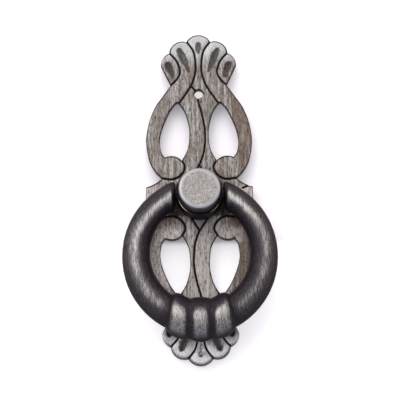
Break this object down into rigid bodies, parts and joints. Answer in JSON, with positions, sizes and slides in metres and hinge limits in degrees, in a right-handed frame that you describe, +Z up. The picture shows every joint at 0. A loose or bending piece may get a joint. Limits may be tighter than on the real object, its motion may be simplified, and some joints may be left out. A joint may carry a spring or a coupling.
{
  "type": "ring pull",
  "caption": "Cast ring pull for doors and drawers: a pierced, engraved backplate, a round boss, and an oval ring with beads that swings on two pegs.",
  "frame": {"origin": "on the backplate's back face, at the axis of the boss", "axes": "+X to the right, +Y into the door, +Z up; the ring hangs towards -Z in front of the plate"},
  "size_m": [0.0546, 0.0196, 0.12],
  "materials": {
    "plate_pewter": "aged pewter, brushed lengthwise, dark in the engraved lines",
    "boss_pewter": "light aged pewter with a stippled face and a polished rim",
    "ring_dark": "dark gunmetal, worn bright along the crests"
  },
  "bodies": {
    "mounted": {"backplate": "plate_pewter", "boss": "boss_pewter"},
    "ring": {"ring": "ring_dark"}
  },
  "joints": [
    {"name": "ring_hinge", "type": "hinge", "parent": "mounted", "child": "ring", "pos_m": [0, -0.008, 0], "axis": [-1, 0, 0], "range_deg": [0, 172]}
  ]
}
